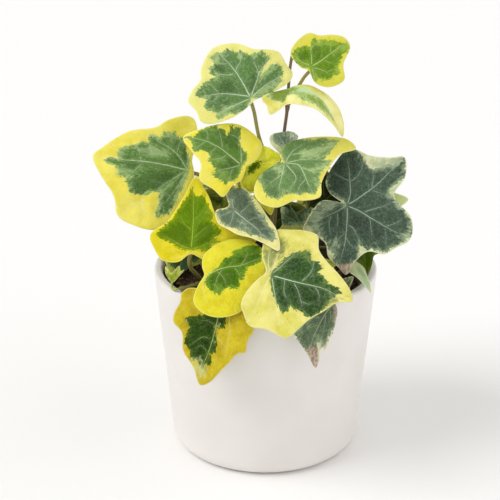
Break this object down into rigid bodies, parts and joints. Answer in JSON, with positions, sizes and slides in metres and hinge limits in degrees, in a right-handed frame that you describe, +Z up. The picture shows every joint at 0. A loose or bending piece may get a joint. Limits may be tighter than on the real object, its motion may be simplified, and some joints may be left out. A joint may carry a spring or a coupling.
{
  "type": "potted variegated ivy",
  "caption": "Trailing ivy with lobed, cream-edged green leaves on slender stems, rooted in a nursery pot that stands in a round white cover pot.",
  "frame": {"origin": "centre of the cover pot's flat underside", "axes": "+Z up along the pot's axis, -Y towards the side that the picture shows, +X to its right"},
  "size_m": [0.166, 0.1516, 0.2264],
  "materials": {
    "white_glaze": "satin glaze",
    "dark_plastic": "matt moulded",
    "bark_mix": "rough, damp",
    "stem_skin": "satin bark",
    "leaf_cream_edged": "satin, waxy",
    "leaf_golden": "satin, waxy",
    "leaf_grey_green": "satin, waxy"
  },
  "bodies": {
    "root": {"cover_pot": "white_glaze", "leaf_arched": "leaf_cream_edged", "leaf_back_1": "leaf_cream_edged", "leaf_back_10": "leaf_cream_edged", "leaf_back_11": "leaf_cream_edged", "leaf_back_12": "leaf_cream_edged", "leaf_back_2": "leaf_cream_edged", "leaf_back_3": "leaf_cream_edged", "leaf_back_4": "leaf_cream_edged", "leaf_back_5": "leaf_cream_edged", "leaf_back_6": "leaf_cream_edged", "leaf_back_7": "leaf_cream_edged", "leaf_back_8": "leaf_cream_edged", "leaf_back_9": "leaf_cream_edged", "leaf_behind_bright": "leaf_cream_edged", "leaf_behind_upper": "leaf_golden", "leaf_bright_left": "leaf_golden", "leaf_centre_right": "leaf_cream_edged", "leaf_crown": "leaf_cream_edged", "leaf_dark_inner": "leaf_grey_green", "leaf_edge_on": "leaf_grey_green", "leaf_folded_front": "leaf_golden", "leaf_front_large": "leaf_cream_edged", "leaf_grey_arrow": "leaf_grey_green", "leaf_hanging_left": "leaf_golden", "leaf_hanging_right": "leaf_grey_green", "leaf_inner_left": "leaf_grey_green", "leaf_inner_right": "leaf_grey_green", "leaf_left_broad": "leaf_cream_edged", "leaf_lime_centre": "leaf_golden", "leaf_lime_inner": "leaf_golden", "leaf_right_peek": "leaf_cream_edged", "leaf_right_star": "leaf_grey_green", "leaf_rim_right": "leaf_grey_green", "leaf_shaded_left": "leaf_golden", "leaf_small_front_right": "leaf_grey_green", "leaf_sprout": "leaf_golden", "leaf_stem_small": "leaf_grey_green", "leaf_top_right": "leaf_cream_edged", "leaf_upper_middle": "leaf_cream_edged", "nursery_pot": "dark_plastic", "soil": "bark_mix", "vine_back_centre": "stem_skin", "vine_back_left": "stem_skin", "vine_back_right": "stem_skin", "vine_centre": "stem_skin", "vine_front": "stem_skin", "vine_left": "stem_skin", "vine_low_left": "stem_skin", "vine_low_right": "stem_skin", "vine_right": "stem_skin", "vine_sprout": "stem_skin", "vine_tall": "stem_skin"}
  },
  "joints": []
}
